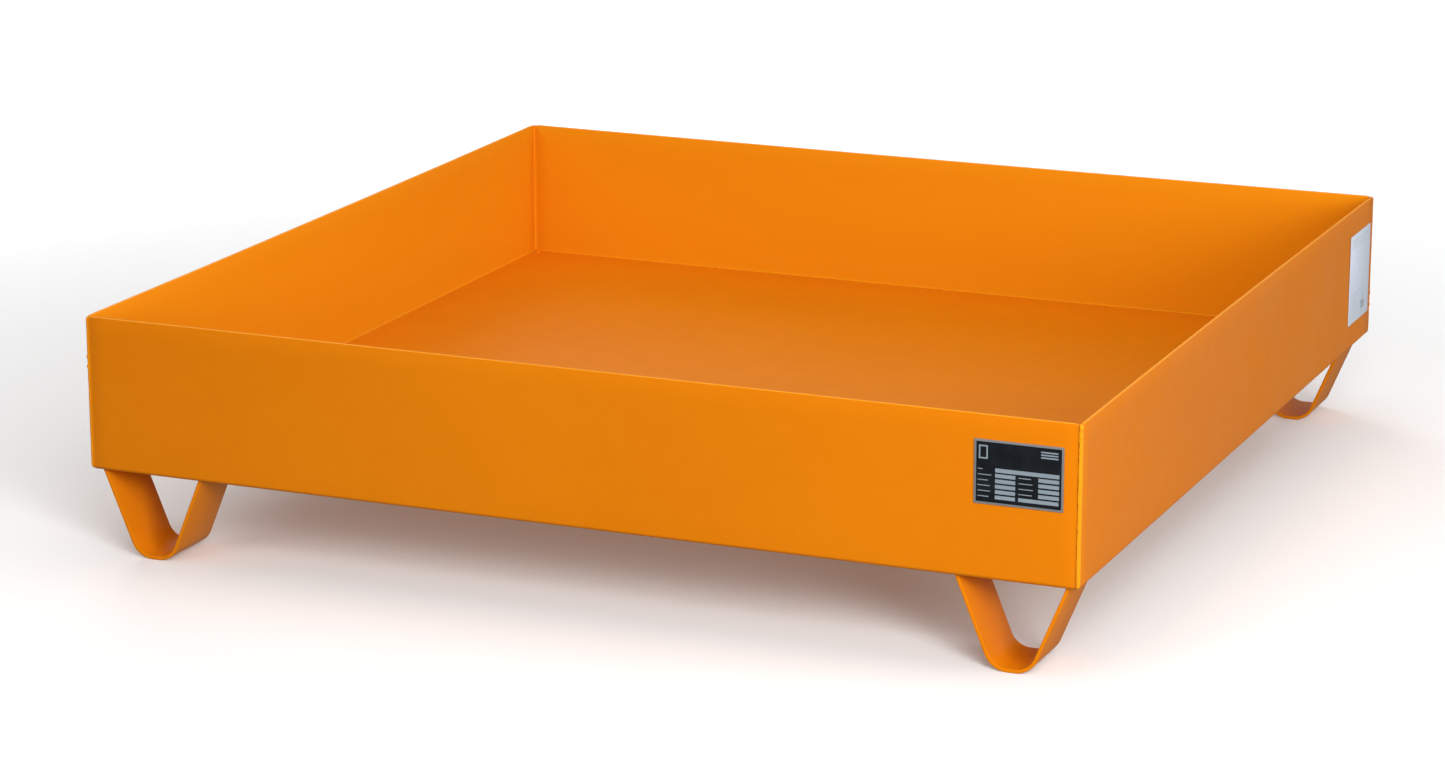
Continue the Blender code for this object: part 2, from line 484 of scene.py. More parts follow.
@dataclass
class TraySheet:
    """The folded sheet: a floor and four upstands with plain top edges that lean and bow a little."""

    sheet: float = 0.003
    fold_radius: float = 0.005
    fold_steps: int = 10
    columns: int = 60
    rows: int = 8
    edge_round: float = 0.0005
    top_corner: float = 0.0035
    # The mark of the painted light inside the tray, and the share of it that the floor takes.
    inside_mark: str = "inside"
    floor_share: float = 0.1
    bow_growth: float = 1.4
    bow_waves: float = 3.1
    bow_ripple: float = 0.12
    bow: dict[Place, float] = field(
        default_factory=lambda: {(0, -1, 0): 0.0012, (1, 0, 0): 0.0022, (0, 1, 0): 0.0045, (-1, 0, 0): 0.0034}
    )

    def __post_init__(self) -> None:
        """Take the tray's place from the frame."""
        self.low, self.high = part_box("tray_sheet")

    @property
    def reach(self) -> Vector:
        """Return half the tray's outer size along X and Y."""
        return (self.high - self.low) / 2

    @property
    def nearness(self) -> float:
        """Return how near to its place a vertex has to lie to be chosen."""
        return self.sheet / 100

    def build(self) -> Piece:
        """Fold the sheet.

        Returns:
            The closed sheet.
        """
        clear_selection()
        floor = [self.reach.x - self.fold_radius, self.reach.y - self.fold_radius]
        cuts = self.columns
        place = (0.0, 0.0, self.low.z)
        bpy.ops.mesh.primitive_grid_add(x_subdivisions=cuts, y_subdivisions=cuts, size=2.0, location=place)
        bpy.context.object.scale = (floor[0], floor[1], 1.0)
        piece = open_piece("tray_folded_sheet")
        for outwards in self.bow:
            self.fold_side(piece, Vector(outwards))
        self.round_top_corners(piece)
        close_piece(piece)
        reshape(piece, self.bowed)
        apply_modifier(piece, "SOLIDIFY", thickness=self.sheet, offset=1.0, use_even_offset=True)
        face_outwards(piece)
        break_edges(piece, self.edge_round)
        smooth(piece)
        self.mark_inside(piece)
        return piece

    def mark_inside(self, piece: Piece) -> None:
        """Write on each vertex how much painted light it takes, from 0 to 1: a lighter tint on the inner
        walls, a little on the floor, and a painted highlight on the upward faces of the inner folds.
        """
        mark = piece.data.attributes.new(self.inside_mark, "FLOAT", "POINT")
        for vert, value in zip(piece.data.vertices, mark.data):
            spot, facing = vert.co, vert.normal
            in_fold = max(abs(spot.x) - self.reach.x, abs(spot.y) - self.reach.y) > -self.fold_radius
            if spot.z < self.low.z + self.fold_radius and not in_fold:
                value.value = self.floor_share * max(0.0, facing.z)
            elif spot.z < self.low.z + self.fold_radius:
                value.value = 1.0 if facing.z > 0.0 else 0.0
            elif abs(spot.x) / self.reach.x > abs(spot.y) / self.reach.y:
                value.value = max(0.0, -math.copysign(1.0, spot.x) * facing.x)
            else:
                value.value = max(0.0, -math.copysign(1.0, spot.y) * facing.y)

    def fold_side(self, piece: Piece, outwards: Vector) -> None:
        """Fold one side up from the floor and draw its wall up to the rim.

        Args:
            piece: The sheet, in edit mode.
            outwards: The way the wall faces.
        """
        reach = abs(self.reach.dot(outwards))
        start = reach - self.fold_radius
        hinge = outwards * start + UP * (self.low.z + self.fold_radius)
        self.choose_end(piece, outwards, start, self.low.z)
        bpy.ops.mesh.spin(steps=self.fold_steps, angle=math.pi / 2, center=hinge, axis=UP.cross(outwards))
        self.choose_end(piece, outwards, reach, self.low.z + self.fold_radius)
        rise = (self.high.z - self.low.z - self.fold_radius) / self.rows
        for _ in range(self.rows):
            bpy.ops.mesh.extrude_region_move(TRANSFORM_OT_translate={"value": UP * rise})

    def choose_end(self, piece: Piece, outwards: Vector, reach: float, level: float) -> None:
        """Select the sheet's open edges that lie at a reach and a level."""

        def at_end(edge: bmesh.types.BMEdge) -> bool:
            spots = [vert.co for vert in edge.verts]
            flat = all(abs(spot.dot(outwards) - reach) < self.nearness for spot in spots)
            return edge.is_boundary and flat and all(abs(spot.z - level) < self.nearness for spot in spots)

        choose(piece, Part.EDGES, at_end)

    def round_top_corners(self, piece: Piece) -> None:
        """Take the points off the walls' top corners, as grinding leaves them."""

        def at_tip(vert: bmesh.types.BMVert) -> bool:
            return abs(vert.co.z - self.high.z) < self.nearness and len(vert.link_edges) == 2

        choose(piece, Part.VERTS, at_tip)
        bpy.ops.mesh.bevel(offset=self.top_corner, segments=5, affect="VERTICES")

    def bowed(self, spot: Vector) -> Vector:
        """Lean a wall's middle inwards, most at the rim, and let the floor sag a hair between the feet."""
        lift = max(0.0, (spot.z - self.low.z - self.fold_radius) / (self.high.z - self.low.z))
        for outwards, depth in self.bow.items():
            way = Vector(outwards)
            reach = abs(self.reach.dot(way))
            if spot.dot(way) > reach - self.fold_radius / 10:
                along = spot.dot(way.cross(UP)) / abs(self.reach.dot(way.cross(UP)))
                sag = 1.0 - min(1.0, along * along)
                waves = Vector((along * self.bow_waves, outwards[0] * 7.0, outwards[1] * 5.0))
                ripple = self.bow_ripple * noise.noise(waves)
                spot -= way * depth * (sag + ripple * sag) * lift ** self.bow_growth
        return spot


@dataclass
class CornerSeam:
    """A hand-laid weld up a corner: a convex, rippled bead with a wandering toe and globules."""

    fold_radius: float = 0.005
    corner_round: float = 0.0034
    crown: float = 0.00035
    crown_end: float = 0.66
    toe: float = 0.00010
    wander: float = 0.00015
    ripple: float = 0.00010
    pitch: float = 0.0019
    toe_end: float = 1.10
    fillet_reach: float = 0.0015
    fillet_depth: float = 0.00212
    fillet_hollow: float = 0.0003
    sides: int = 96
    # The band of flank where a painted shadow runs along the toe, and the mark that carries it.
    toe_line: Range = (0.60, 0.80)
    toe_mark: str = "toe"
    # The mark of the crown's painted highlight, and how much of it the root fillet takes.
    crown_mark: str = "crown"
    root_share: float = 0.55
    step: float = 0.0006
    globule: float = 0.0011
    globule_size: float = 0.0022
    short: float = 0.0006
    trail: float = 0.0016
    roam_waves: float = 140.0
    toe_waves: float = 160.0
    toe_roam: float = 0.07
    dome: float = 0.62
    thinnest: float = 0.02

    def globules(self, corner: Corner, height: float) -> list[float]:
        """Return a seam's globules' heights: two near the top at the front right, two random elsewhere."""
        if corner is Corner.FRONT_RIGHT:
            return [height - 0.0042, height - 0.0140]
        draw = random.Random(corner.name)
        return [draw.uniform(0.05, 0.95) * height for _ in range(2)]

    def build(self, corner: Corner) -> Piece:
        """Lay one seam.

        Args:
            corner: The corner that it closes.

        Returns:
            The bead.
        """
        low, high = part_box("corner_seam_" + corner.label)
        height = high.z - low.z - self.short
        tray_low, tray_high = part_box("tray_sheet")
        piece = weld_stock("seam_bead_" + corner.label, self.sides, height, height / 2, self.step)
        lumps = self.globules(corner, height)
        seed = Vector((corner.value[0] * 3.7, corner.value[1] * 5.3, 0.0))
        reshape(piece, lambda spot: self.bead(spot, height, lumps, seed))
        face_outwards(piece)
        smooth(piece, 60.0)
        self.mark_bead(piece, seed)
        side_x, side_y = corner.value
        hub_x = (tray_high.x - self.fold_radius) * side_x
        hub_y = (tray_high.y - self.fold_radius) * side_y
        move = Matrix.Translation((hub_x, hub_y, tray_low.z)) @ Matrix.Rotation(corner.turn, 4, "Z")
        piece.data.transform(move)
        return piece

    def mark_bead(self, piece: Piece, seed: Vector) -> None:
        """Write on each vertex whether it takes a painted highlight, on the crown and partly on the root
        fillet, or a painted shadow, on a line along its toe.

        Args:
            piece: The bead, about the hub.
            seed: Shifts the noise, so that no two beads match.
        """
        start, end = self.toe_line
        for name in (self.crown_mark, self.toe_mark):
            piece.data.attributes.new(name, "FLOAT", "POINT")
        crown, toe = (piece.data.attributes[name].data for name in (self.crown_mark, self.toe_mark))
        for vert, on_crown_highlight, on_toe_shadow in zip(piece.data.vertices, crown, toe):
            flank = (math.pi / 4 - math.atan2(vert.co.y, vert.co.x)) / (math.pi / 4)
            roam = noise.noise(Vector((9.0, vert.co.z * self.toe_waves, 0.0)) + seed)
            broken = 0.75 + 0.9 * noise.noise(Vector((4.0, vert.co.z * 60.0, 0.0)) + seed)
            shift = self.toe_roam * roam
            flank_size = abs(math.remainder(flank, 8.0))
            on_crown_highlight.value = 1.0 if flank_size < start + shift else self.root_share * (flank_size > 2.0 * end)
            on_toe_shadow.value = min(1.0, max(0.0, broken)) if start + shift <= flank <= end + shift else 0.0

    def bead(self, spot: Vector, height: float, lumps: Sequence[float], seed: Vector) -> Vector:
        """Bring one point of a unit cylinder to the bead's surface, about the hub of the folds.

        Args:
            spot: The point, with its radius from 0 to 1 and its height in metres.
            height: The bead's height.
            lumps: The heights of its globules.
            seed: Shifts the noise, so that no two beads match.

        Returns:
            Where the point goes, with the +X, +Y corner's edge at equal X and Y.
        """
        share = min(1.0, math.hypot(spot.x, spot.y))
        across = math.atan2(spot.y, spot.x) - math.pi / 4
        across = math.atan2(math.sin(across), math.cos(across))
        flank = abs(across) / (math.pi / 4)
        up = spot.z
        roam = noise.noise(Vector((math.copysign(2.0, across), up * self.roam_waves, 0.0)) + seed)
        swell = max(0.0, 1.0 - (flank / (self.crown_end + 0.06 * roam)) ** 2)
        crescent = (up + self.trail * flank * flank) / self.pitch
        uneven = 1.0 + 0.5 * noise.noise(Vector((0.0, up * 300.0, 3.0)) + seed)
        proud = self.toe + (self.crown + self.wander * roam) * math.sqrt(swell)
        proud += self.ripple * uneven * abs(math.sin(math.pi * crescent)) * min(1.0, 2.0 * swell)
        for lump in lumps:
            away = math.hypot(up - lump, self.fold_radius * across * 0.9) / self.globule_size
            proud += self.globule * max(0.0, 1.0 - away * away)
        outer = self.corner_reach(across) + proud
        landing = Vector((-self.fillet_reach, self.fillet_depth))
        landing_angle = math.atan2(landing.y, landing.x) - math.pi / 4
        if abs(across) <= landing_angle:
            start = self.toe_end * math.pi / 4
            fall = min(1.0, max(0.0, (abs(across) - start) / (landing_angle - start)))
            radius = outer + (landing.length - outer) * fall * fall * (3 - 2 * fall)
            outline = Vector((math.cos(across + math.pi / 4), math.sin(across + math.pi / 4))) * radius
        else:
            if across < 0.0:
                landing = landing.yx
            share_in = (abs(across) - landing_angle) / (math.pi - landing_angle)
            middle = (self.fillet_depth - self.fillet_reach) / 2
            dip = self.fillet_hollow * (1.0 - (1.0 - share_in) ** 2) * (1.0 + 0.3 * roam)
            outline = landing.lerp(Vector((middle, middle)), share_in) + Vector((dip, dip))
        core = Vector((self.fold_radius / 2, self.fold_radius / 2))
        flat = core.lerp(outline, share) * self.end_round(up, height)
        return Vector((flat.x, flat.y, up))

    def corner_reach(self, across: float) -> float:
        """Return how far the rounded corner lies from the hub, at an angle off the corner's diagonal."""
        turn = max(0.0, math.pi / 4 - abs(across))
        inset = self.fold_radius - self.corner_round
        if self.fold_radius * math.tan(turn) < inset:
            return self.fold_radius / math.cos(turn)
        along = inset * (math.cos(turn) + math.sin(turn))
        return along + math.sqrt(max(0.0, along * along - 2.0 * inset * inset + self.corner_round ** 2))

    def end_round(self, up: float, height: float) -> float:
        """Return how much of its radius the bead keeps near its two ends."""
        bottom = min(1.0, up / self.fold_radius)
        top = min(1.0, (height - up) / (self.fold_radius * 0.35))
        foot = math.sqrt(max(0.0, 1.0 - (1.0 - bottom) ** 2))
        dome = math.sqrt(max(0.0, 1.0 - (self.dome * (1.0 - top)) ** 2))
        return max(self.thinnest, foot) * dome


# --- Feet -------------------------------------------------


@dataclass
class StripFoot:
    """A foot: flat strip with rolled edges, bent into a V with a small flat tread."""

    thickness: float = 0.004
    bend_radius: float = 0.028
    tread: float = 0.008
    bend_steps: int = 22
    edge_round: float = 0.0007

    def __post_init__(self) -> None:
        """Take the feet's size from the frame."""
        low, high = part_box("foot_" + Corner.FRONT_RIGHT.label)
        self.span, self.width, self.height = high - low

    @property
    def tilt(self) -> float:
        """Return a leg's angle from the vertical."""
        across = (self.span - self.tread) / 2
        up = self.height - self.bend_radius
        return math.atan2(across, up) - math.asin(self.bend_radius / math.hypot(across, up))

    def build(self) -> Piece:
        """Bend one foot, about the middle of its tread.

        Returns:
            The foot, still at the origin.
        """
        clear_selection()
        bpy.ops.mesh.primitive_plane_add(size=1.0, location=(0.0, 0.0, 0.0))
        bpy.context.object.scale = (self.tread, self.width, 1.0)
        piece = open_piece("strip_foot")
        for side in (1, -1):
            self.bend_leg(piece, side)
        close_piece(piece)
        apply_modifier(piece, "SOLIDIFY", thickness=self.thickness, offset=1.0, use_even_offset=True)
        bpy.ops.object.mode_set(mode="EDIT")
        bpy.ops.mesh.select_all(action="SELECT")
        bpy.ops.mesh.bisect(
            plane_co=(0.0, 0.0, self.height), plane_no=UP, use_fill=True, clear_outer=True, threshold=NEAR
        )
        close_piece(piece)
        face_outwards(piece)
        break_edges(piece, self.edge_round, 3, 50.0)
        smooth(piece)
        return piece

    def bend_leg(self, piece: Piece, side: int) -> None:
        """Bend the strip up on one side of its tread and draw out the leg.

        Args:
            piece: The strip, in edit mode.
            side: 1 for +X or -1 for -X.
        """
        edge_x = side * self.tread / 2
        choose(piece, Part.EDGES, lambda edge: all(abs(v.co.x - edge_x) < NEAR for v in edge.verts))
        sweep = math.pi / 2 - self.tilt
        bpy.ops.mesh.spin(
            steps=self.bend_steps,
            angle=sweep,
            center=(edge_x, 0.0, self.bend_radius),
            axis=(0.0, side, 0.0),
        )
        reach = max(side * vert.co.x for vert in bmesh.from_edit_mesh(piece.data).verts)
        choose(piece, Part.EDGES, lambda edge: all(abs(side * v.co.x - reach) < NEAR for v in edge.verts))
        overshoot = self.thickness
        rise = self.height + overshoot - self.bend_radius * (1 - math.cos(sweep))
        leg = Vector((side * rise * math.tan(self.tilt), 0.0, rise))
        bpy.ops.mesh.extrude_region_move(TRANSFORM_OT_translate={"value": leg})


@dataclass
class LegFillet:
    """A fillet weld along the top of a leg: a short run with ripples, crowned, with rounded ends."""

    leg: float = 0.0045
    sides: int = 20
    pitch: float = 0.0021
    ripple: float = 0.00012
    step: float = 0.0008
    uneven: float = 0.10
    waves: float = 150.0
    squareness: int = 14
    thinnest: float = 0.05
    inside_lift: float = 0.10
    outside_lift: float = 0.06

    def build(self, node: str, name: str, inside: bool) -> Piece:
        """Lay one fillet in the place of its CAD node.

        Args:
            node: The CAD node.
            name: The piece's name.
            inside: Whether the weld lies on the inside of the V.

        Returns:
            The fillet.
        """
        low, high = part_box(node)
        run = high.y - low.y
        piece = weld_stock(name, self.sides, run, 0.0, self.step)
        seed = Vector((low.x * 11.0, low.y * 7.0, 0.5))
        width, depth = high.x - low.x, high.z - low.z

        def lay(spot: Vector) -> Vector:
            along = spot.z
            end = math.sqrt(max(0.0, 1.0 - (2.0 * abs(along) / run) ** self.squareness))
            roam = 1.0 + self.uneven * noise.noise(Vector((along * self.waves, 0.0, 0.0)) + seed)
            crest = self.ripple * abs(math.sin(math.pi * (along + 0.5 * spot.y * self.leg) / self.pitch))
            size = (0.5 * roam + crest / depth) * max(self.thinnest, end)
            return Vector((spot.x * width * size, along, spot.y * depth * size))

        reshape(piece, lay)
        face_outwards(piece)
        smooth(piece, 60.0)
        lift = self.inside_lift if inside else self.outside_lift
        piece.data.transform(Matrix.Translation((low + high) / 2 + UP * depth * lift))
        return piece


# --- Type plate and label ---------------------------------


class Wall(Enum):
    """A wall that something is stuck to, as the way it faces and the way to its right, seen from outside."""

    FRONT = ((0.0, -1.0, 0.0), (1.0, 0.0, 0.0))
    RIGHT = ((1.0, 0.0, 0.0), (0.0, 1.0, 0.0))


@dataclass
class FlatGraphic:
    """Thin rectangles on a wall, placed by their share of a CAD node's width and height."""

    node: str
    wall: Wall
    edge_share: float = 0.3

    def __post_init__(self) -> None:
        """Take the face's corner and size from the frame."""
        low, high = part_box(self.node)
        self.out, self.right = (Vector(way) for way in self.wall.value)
        size = high - low
        self.width = size.dot(self.right)
        self.height = size.z
        self.thickness = abs(size.dot(self.out))
        middle_spot = (low + high) / 2
        self.corner = middle_spot - self.right * self.width / 2 + UP * self.height / 2
        self.corner -= self.out * self.thickness / 2

    def patch(self, area: Area, base: float, rise: float, round_by: float, name: str) -> Piece:
        """Make one thin rectangle with rounded corners and a broken edge.

        Args:
            area: Its left, top, right and bottom, as shares of the node's width and height.
            base: How far its back stands from the node's back.
            rise: Its thickness.
            round_by: Its corners' radius.
            name: Its name.

        Returns:
            The rectangle, in place.
        """
        left, top, right, bottom = area
        wide = (right - left) * self.width
        tall = (bottom - top) * self.height
        clear_selection()
        bpy.ops.mesh.primitive_plane_add(size=1.0, location=(0.0, 0.0, 0.0))
        bpy.context.object.scale = (wide, tall, 1.0)
        piece = open_piece(name)
        bpy.ops.mesh.select_mode(type="VERT")
        bpy.ops.mesh.select_all(action="SELECT")
        if round_by > 0.0:
            bpy.ops.mesh.bevel(offset=round_by, segments=4, affect="VERTICES")
            bpy.ops.mesh.select_all(action="SELECT")
        bpy.ops.mesh.extrude_region_move(TRANSFORM_OT_translate={"value": UP * rise})
        close_piece(piece)
        face_outwards(piece)
        break_edges(piece, rise * self.edge_share)
        axes = Matrix((self.right, UP, self.out)).transposed().to_4x4()
        centre = self.corner + self.right * self.width * (left + right) / 2
        centre -= UP * self.height * (top + bottom) / 2
        piece.data.transform(Matrix.Translation(centre + self.out * base) @ axes)
        return piece


@dataclass
class TypePlate:
    """The type plate: bare aluminium, printed black, with bare fields, plain marks and dashes for words."""

    print_rise: float = 0.00012
    field_rise: float = 0.00012
    border: float = 0.026
    border_tall: float = 0.036
    row_pitch: float = 0.0835
    left_rows: int = 5
    right_rows: int = 4

    def __post_init__(self) -> None:
        """Set out the plate on its CAD node."""
        self.face = FlatGraphic("type_plate", Wall.FRONT)

    def tops(self, first: float) -> list[float]:
        """Return the tops of the left column's rows; the right column has the same, but fewer."""
        return [first + row * self.row_pitch for row in range(self.left_rows)]

    def fields(self) -> Iterator[Area]:
        """Yield the bare fields, from the wide one down through both columns."""
        yield (0.240, 0.430, 0.950, 0.492)
        tall = 0.058
        tops = self.tops(0.515)
        for top in tops:
            yield (0.240, top, 0.465, top + tall)
        for top in tops[:self.right_rows]:
            yield (0.720, top, 0.950, top + tall)
        yield (0.500, tops[-1], 0.946, tops[-1] + tall)

    def dashes(self) -> Iterator[Area]:
        """Yield plain dashes where the plate's captions stand."""
        draw = random.Random("captions")
        left, right, tall = 0.045, 0.500, 0.013
        tops = self.tops(0.536)
        yield (left, 0.450, 0.100, 0.450 + tall)
        for top in tops:
            yield (left, top, left + draw.uniform(0.10, 0.17), top + tall)
        for top in tops[:self.right_rows]:
            yield (right, top, right + draw.uniform(0.12, 0.19), top + tall)

    def build(self, bare: Material, blank: Material, black: Material) -> None:
        """Make the plate and hand it over.

        Args:
            bare: The bare metal of the border.
            blank: The duller bare metal of the fields and the marks.
            black: The printed metal.
        """
        face = self.face
        plate = face.patch((0.0, 0.0, 1.0, 1.0), 0.0, face.thickness, 0.0015, "plate_blank")
        smooth(plate)
        hand_over(plate, Slot.PLATE, bare, "type_plate")
        inner = (self.border, self.border_tall, 1.0 - self.border, 1.0 - self.border_tall)
        ink = face.patch(inner, face.thickness, self.print_rise, 0.0008, "plate_print")
        hand_over(ink, Slot.PLATE, black)
        top = face.thickness + self.print_rise
        bars = [face.patch(area, top, self.field_rise, 0.0, "field") for area in self.fields()]
        hand_over(join_pieces(bars, "plate_fields"), Slot.PLATE, blank)
        words = [face.patch(area, top, self.field_rise, 0.0, "dash") for area in self.dashes()]
        words.extend(self.marks(top))
        hand_over(join_pieces(words, "plate_marks"), Slot.PLATE, blank)

    def marks(self, top: float) -> list[Piece]:
        """Make the marks in the upper corners: a framed square and a block of three bars."""
        left, high, right, low = 0.055, 0.090, 0.155, 0.300
        line_across, line_down = 0.016, 0.022
        areas = [
            (left, high, right, high + line_down),
            (left, low - line_down, right, low),
            (left, high + line_down, left + line_across, low - line_down),
            (right - line_across, high + line_down, right, low - line_down),
        ]
        bar_left, bar_right, bar_high, bar_pitch = 0.745, 0.935, 0.095, 0.042
        for row in range(3):
            bar_top = bar_high + bar_pitch * row
            areas.append((bar_left, bar_top, bar_right, bar_top + line_down))
        return [self.face.patch(area, top, self.field_rise, 0.0, "mark") for area in areas]


@dataclass
class PaperLabel:
    """The paper label: a white sheet with faint grey rules and a pale block."""

    paper_rise: float = 0.0002
    ink_rise: float = 0.00012

    def build(self, paper: Material, ink: Material) -> None:
        """Make the label and hand it over.

        Args:
            paper: The paper.
            ink: The pale grey print.
        """
        face = FlatGraphic("paper_label", Wall.RIGHT)
        sheet = face.patch((0.0, 0.0, 1.0, 1.0), 0.0, face.thickness, 0.002, "label_sheet")
        smooth(sheet)
        hand_over(sheet, Slot.PAPER, paper, "paper_label")
        left, first, pitch, thick = 0.08, 0.66, 0.032, 0.010
        lines = [(left, 0.06, 0.92, 0.075), (left, 0.10, 0.80, 0.112), (left, 0.135, 0.86, 0.147)]
        draw = random.Random("label")
        for row in range(9):
            top = first + row * pitch
            lines.append((left, top, left + draw.uniform(0.25, 0.80), top + thick))
        marks = [face.patch(area, face.thickness, self.ink_rise, 0.0, "rule") for area in lines]
        marks.append(face.patch((0.60, 0.72, 0.90, 0.93), face.thickness, self.ink_rise, 0.0, "block"))
        hand_over(join_pieces(marks, "label_print"), Slot.PAPER, ink)


# --- Spatter ----------------------------------------------


@dataclass
class Spatter:
    """Weld spatter and paint nibs: small flattened beads that the coat has run over."""

    sheet: float = 0.003
    wall_gap: float = 0.003
    nibs_each: int = 5
    nib_size: Range = (0.0006, 0.0013)
    reach: Range = (0.005, 0.020)
    turn_margin: float = 0.15

    def spots(self) -> Iterator[tuple[Vector, float]]:
        """Yield each nib's place and radius."""
        low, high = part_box("tray_sheet")
        floor = low.z + self.sheet
        inner_x = high.x - self.sheet
        inner_y = high.y - self.sheet
        yield Vector((-0.315, inner_y - 0.004, floor + 0.001)), 0.0022
        yield Vector((0.010, inner_y - 0.004, floor + 0.001)), 0.0018
        yield Vector((-inner_x + 0.0002, 0.300, high.z - 0.016)), 0.0016
        yield Vector((-inner_x + 0.0002, 0.285, high.z - 0.034)), 0.0013
        draw = random.Random("spatter")
        for corner in Corner:
            side_x, side_y = corner.value
            for _ in range(self.nibs_each):
                away = draw.uniform(*self.reach)
                turn = draw.uniform(self.turn_margin, math.pi / 2 - self.turn_margin)
                x = side_x * (inner_x - self.wall_gap - away * math.cos(turn))
                y = side_y * (inner_y - self.wall_gap - away * math.sin(turn))
                yield Vector((x, y, floor)), draw.uniform(*self.nib_size)

    def build(self) -> Piece:
        """Scatter the nibs, as one piece."""
        nibs = []
        for place, radius in self.spots():
            clear_selection()
            bpy.ops.mesh.primitive_ico_sphere_add(subdivisions=3, radius=radius, location=place)
            nib = open_piece("nib")
            bpy.ops.mesh.select_all(action="SELECT")
            bpy.ops.transform.resize(value=(1.25, 1.1, 0.75))
            close_piece(nib)
            nibs.append(nib)
        piece = join_pieces(nibs, "weld_spatter")
        smooth(piece, 60.0)
        return piece


# --- Studio -----------------------------------------------


@dataclass(frozen=True)
class Panel:
    """A square soft light aimed at the tray: its place, its side's length and its power in watts."""

    name: str
    place: Place
    size: float
    power: float


@dataclass
class Studio:
    """The pale floor, the soft lights and the camera."""

    lens: float = 106.15
    sensor: float = 36.0
    camera_place: Place = (1.9142, -4.6835, 1.4681)
    azimuth: float = 22.855
    elevation: float = 14.969
    floor_size: float = 60.0
    sky: Colour = (1.0, 1.0, 1.0)
    above: float = 0.35
    below: float = 0.25
    horizon: float = 0.15
    clip_end: float = 200.0
    panels: tuple[Panel, ...] = (
        Panel("key_panel", (2.2, -3.6, 2.6), 2.0, 105.0),
        Panel("near_panel", (2.6, -2.6, 1.0), 1.0, 60.0),
        Panel("right_panel", (4.2, 0.3, 1.9), 2.0, 38.0),
        Panel("left_panel", (-1.8, -4.0, 2.6), 2.0, 24.0),
        Panel("top_panel", (-0.2, 0.2, 3.6), 2.4, 25.0),
        Panel("back_panel", (-3.0, 3.5, 2.5), 2.0, 55.0),
    )

    def build(self) -> None:
        """Set up the studio."""
        bpy.context.scene.view_settings.view_transform = "Standard"
        self.add_camera()
        self.add_floor()
        self.add_sky()
        for panel in self.panels:
            self.hang(panel)

    def add_camera(self) -> None:
        """Put the camera at the viewing angle."""
        data = bpy.data.cameras.new("camera")
        data.lens = self.lens
        data.sensor_width = self.sensor
        data.clip_end = self.clip_end
        camera = bpy.data.objects.new("camera", data)
        camera.location = self.camera_place
        turn = (math.pi / 2 - math.radians(self.elevation), 0.0, math.radians(self.azimuth))
        camera.rotation_euler = Euler(turn)
        bpy.context.scene.collection.objects.link(camera)
        bpy.context.scene.camera = camera

    def add_floor(self) -> None:
        """Lay the floor, which throws no light back on the pallet."""
        clear_selection()
        bpy.ops.mesh.primitive_plane_add(size=self.floor_size, location=(0.0, 0.0, 0.0))
        floor = close_piece(open_piece("studio_floor"))
        floor.data.materials.append(StudioFloor().material())
        floor.visible_diffuse = False
        floor.visible_glossy = False

    def add_sky(self) -> None:
        """Fill the surroundings with a pale light, a little dimmer below the horizon."""
        world = bpy.data.worlds.new("studio")
        world.use_nodes = True
        tree = world.node_tree
        background = tree.nodes["Background"]
        place = tree.nodes.new("ShaderNodeTexCoord")
        split = tree.nodes.new("ShaderNodeSeparateXYZ")
        ramp = tree.nodes.new("ShaderNodeMapRange")
        ramp.interpolation_type = "SMOOTHSTEP"
        limits = (-self.horizon, self.horizon, self.below, self.above)
        for name, value in zip(RAMP_ENDS, limits):
            ramp.inputs[name].default_value = value
        tree.links.new(place.outputs["Generated"], split.inputs["Vector"])
        tree.links.new(split.outputs["Z"], ramp.inputs["Value"])
        tree.links.new(ramp.outputs["Result"], background.inputs["Strength"])
        background.inputs["Color"].default_value = opaque(self.sky)
        bpy.context.scene.world = world

    def hang(self, panel: Panel) -> None:
        """Hang one panel, which neither the camera nor a reflection sees."""
        data = bpy.data.lights.new(panel.name, "AREA")
        data.shape = "SQUARE"
        data.size = panel.size
        data.energy = panel.power
        light = bpy.data.objects.new(panel.name, data)
        light.location = panel.place
        light.visible_camera = False
        light.visible_glossy = False
        light.rotation_euler = (-Vector(panel.place)).to_track_quat("-Z", "Y").to_euler()
        bpy.context.scene.collection.objects.link(light)


# --- Pallet -----------------------------------------------


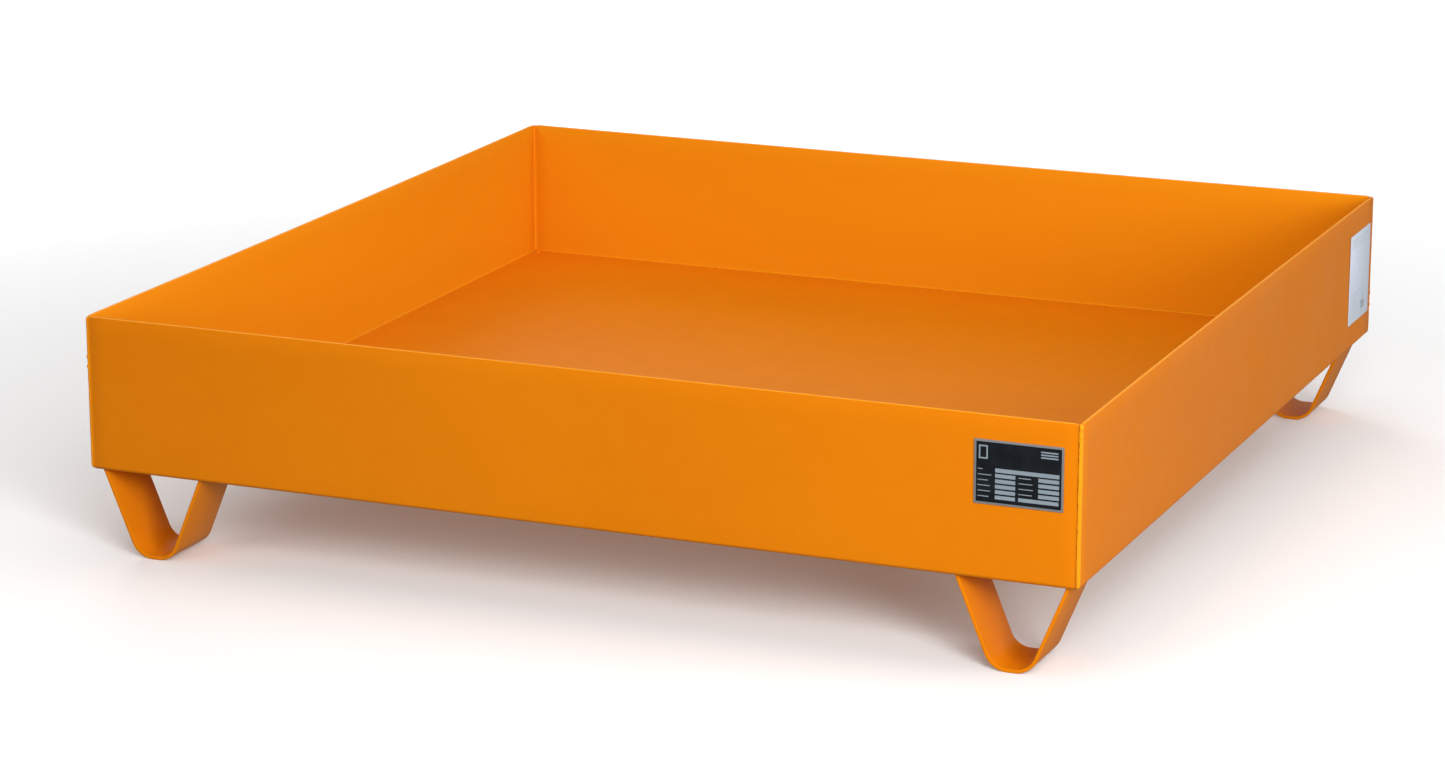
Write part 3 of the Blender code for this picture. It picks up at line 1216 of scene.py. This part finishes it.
@dataclass
class Pallet:
    """The whole pallet, built from its sub-assemblies."""

    tray: TraySheet = field(default_factory=TraySheet)
    seam: CornerSeam = field(default_factory=CornerSeam)
    foot: StripFoot = field(default_factory=StripFoot)
    fillet: LegFillet = field(default_factory=LegFillet)

    def build(self) -> None:
        """Build and dress every piece."""
        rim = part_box("tray_sheet")[1].z
        # The tray's paint has a painted highlight along the rim's top, a painted lighter tint on the inner
        # faces and painted highlights in the inner folds.
        paint = PowderCoat(lit_rim=rim, sheltered_mark=self.tray.inside_mark).material()
        strip_paint = PowderCoat(name="strip_powder_coat").material()
        # The welds' paint is a glossier copy of the coat, made lighter as a painted highlight on the fillets
        # and nibs.
        weld_paint = PowderCoat(
            name="weld_powder_coat", colour=(0.88, 0.31, 0.009), deep=(0.82, 0.26, 0.006),
            roughness=(0.26, 0.36), gloss_level=0.6,
        ).material()
        # The seam's paint has a painted highlight on the crown and a painted shadow along the toe.
        seam_paint = PowderCoat(
            name="seam_powder_coat", gloss_level=0.5, sheltered=(0.90, 0.31, 0.010),
            sheltered_mark=self.seam.crown_mark, crevice_mark=self.seam.toe_mark,
        ).material()
        bare = PrintedMetal("bare_aluminium", (0.60, 0.60, 0.62), (0.48, 0.47, 0.46), (0.30, 0.42), 0.85)
        blank = PrintedMetal("blank_aluminium", (0.30, 0.36, 0.41), (0.22, 0.27, 0.31), (0.34, 0.46), 0.2)
        black = PrintedMetal(
            "black_print", (0.006, 0.0075, 0.010), (0.020, 0.023, 0.028), (0.34, 0.46), 0.0, 0.18
        )
        paper = LabelPaper("label_paper", (0.74, 0.80, 0.90), (0.67, 0.74, 0.85))
        grey_ink = LabelPaper("label_ink", (0.60, 0.66, 0.73), (0.53, 0.59, 0.67))
        hand_over(self.tray.build(), Slot.PAINT, paint, "tray_sheet")
        for corner in Corner:
            hand_over(self.seam.build(corner), Slot.WELD, seam_paint, "corner_seam_" + corner.label)
        self.build_feet(strip_paint, weld_paint)
        hand_over(Spatter().build(), Slot.WELD, weld_paint)
        TypePlate().build(bare.material(), blank.material(), black.material())
        PaperLabel().build(paper.material(), grey_ink.material())

    def build_feet(self, strip_paint: Material, weld_paint: Material) -> None:
        """Bend one foot, copy it to each corner and lay the fillets at its legs' tops.

        Args:
            strip_paint: The strip's finish.
            weld_paint: The welds' finish.
        """
        model = self.foot.build()
        for corner in Corner:
            node = "foot_" + corner.label
            low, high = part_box(node)
            spot = Vector(((low.x + high.x) / 2, (low.y + high.y) / 2, low.z))
            foot = copy_piece(model, "strip_" + node, Matrix.Translation(spot))
            hand_over(foot, Slot.PAINT, strip_paint, node)
            for leg in ("outer_leg", "inner_leg"):
                for face in ("outside", "inside"):
                    weld = f"weld_{corner.label}_{leg}_{face}"
                    name = f"fillet_{corner.label}_{leg}_{face}"
                    hand_over(self.fillet.build(weld, name, face == "inside"), Slot.WELD, weld_paint, weld)
        bpy.data.objects.remove(model, do_unlink=True)


def main() -> None:
    """Build the pallet in its studio."""
    logging.basicConfig(level=logging.INFO, format="%(name)s: %(message)s")
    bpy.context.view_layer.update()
    Studio().build()
    Pallet().build()


if __name__ == "__main__":
    main()
